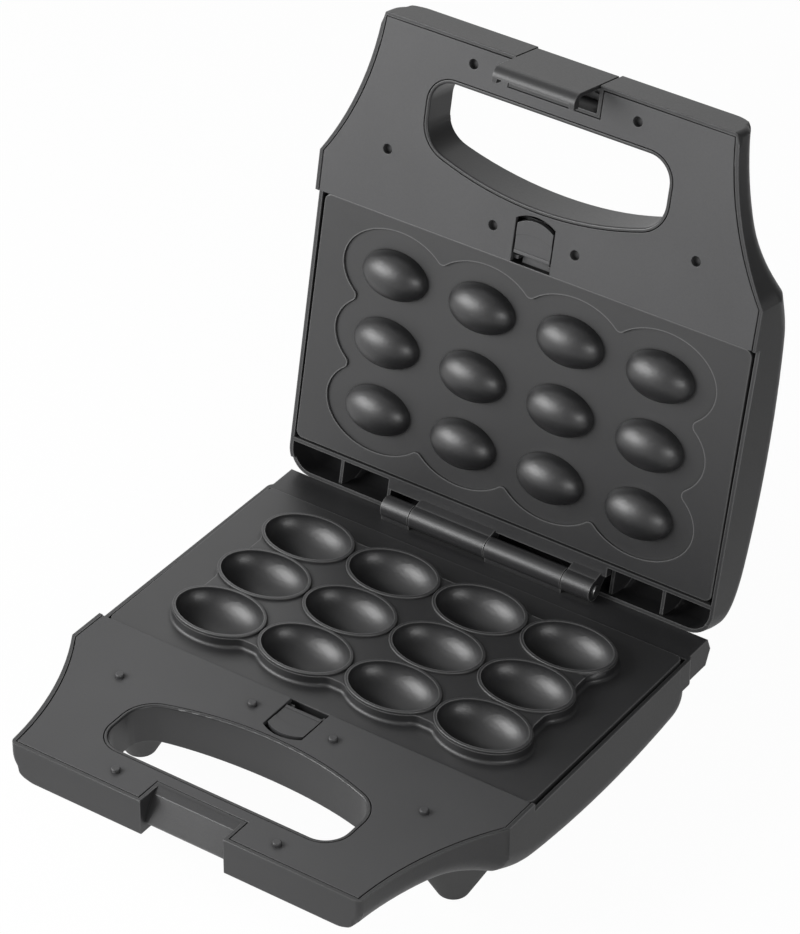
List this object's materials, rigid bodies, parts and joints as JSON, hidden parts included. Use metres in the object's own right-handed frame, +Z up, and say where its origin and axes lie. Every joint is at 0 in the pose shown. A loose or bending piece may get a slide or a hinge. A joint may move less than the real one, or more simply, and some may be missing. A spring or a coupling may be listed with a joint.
{
  "type": "multi snack maker",
  "caption": "Hinged counter-top snack maker, standing open, with oval cups below and domes in the lid, grip holes in both handles, plate catches and a hooked latch.",
  "frame": {"origin": "on the worktop, under the middle of the box around the open maker", "axes": "+X along the hinge to the right, -Y to the handle of the lower half, +Z up; the lid stands open at rest"},
  "size_m": [0.2228, 0.2856, 0.2727],
  "materials": {
    "housing": "fine moulded grain, black",
    "baking_plate": "die cast with a dark non-stick coating, semi-gloss",
    "foot_rubber": "matt black",
    "pin_steel": "ground",
    "spring_steel": "blank strip",
    "screw_steel": "zinc plated",
    "heat_tray": "aluminised sheet",
    "heater_sheath": "heat tinted sheath",
    "ceramic_insulator": null,
    "insulator": "heat-proof moulding",
    "lens_red": "clear red",
    "lens_green": "clear green"
  },
  "bodies": {
    "base": {"base_shell": "housing", "base_handle_cover": "housing", "base_plate": "baking_plate", "hinge_pin": "pin_steel", "foot_front_left": "foot_rubber", "foot_front_right": "foot_rubber", "foot_rear_left": "foot_rubber", "foot_rear_right": "foot_rubber", "thermostat": "ceramic_insulator", "thermal_fuse": "screw_steel", "terminal_block": "insulator", "cord_gland": "foot_rubber", "base_catch_spring": "spring_steel", "base_heat_tray": "heat_tray", "base_heater": "heater_sheath", "base_heater_bracket_left": "heat_tray", "base_heater_bracket_right": "heat_tray", "base_cover_screw_1": "screw_steel", "base_cover_screw_2": "screw_steel", "base_cover_screw_3": "screw_steel", "base_cover_screw_4": "screw_steel", "base_tray_screw_1": "screw_steel", "base_tray_screw_2": "screw_steel", "base_tray_screw_3": "screw_steel", "base_tray_screw_4": "screw_steel"},
    "lid": {"lid_shell": "housing", "lid_handle_cover": "housing", "lid_plate": "baking_plate", "latch_pin": "pin_steel", "lid_lamp_lens_left": "lens_red", "lid_lamp_lens_right": "lens_green", "lid_lamp_holder": "insulator", "lid_catch_spring": "spring_steel", "lid_heat_tray": "heat_tray", "lid_heater": "heater_sheath", "lid_heater_bracket_left": "heat_tray", "lid_heater_bracket_right": "heat_tray", "lid_cover_screw_1": "screw_steel", "lid_cover_screw_2": "screw_steel", "lid_cover_screw_3": "screw_steel", "lid_cover_screw_4": "screw_steel", "lid_tray_screw_1": "screw_steel", "lid_tray_screw_2": "screw_steel", "lid_tray_screw_3": "screw_steel", "lid_tray_screw_4": "screw_steel"},
    "latch": {"latch": "housing"},
    "base_catch": {"base_catch": "housing"},
    "lid_catch": {"lid_catch": "housing"}
  },
  "joints": [
    {"name": "lid_hinge", "type": "hinge", "parent": "base", "child": "lid", "pos_m": [0, 0.07901, 0.0528], "axis": [1, 0, 0], "range_deg": [0, 102.2]},
    {"name": "latch_pivot", "type": "hinge", "parent": "lid", "child": "latch", "pos_m": [0, 0.13525, 0.26183], "axis": [-1, 0, 0], "range_deg": [0, 28]},
    {"name": "base_catch_slide", "type": "slide", "parent": "base", "child": "base_catch", "axis": [0, -1, 0], "range_m": [0, 0.002], "stiffness_N_per_m": 400, "springref_m": -0.002, "deforming": ["base_catch_spring"]},
    {"name": "lid_catch_slide", "type": "slide", "parent": "lid", "child": "lid_catch", "axis": [0, 0.2113, 0.9774], "range_m": [0, 0.002], "stiffness_N_per_m": 400, "springref_m": -0.002, "deforming": ["lid_catch_spring"]}
  ]
}
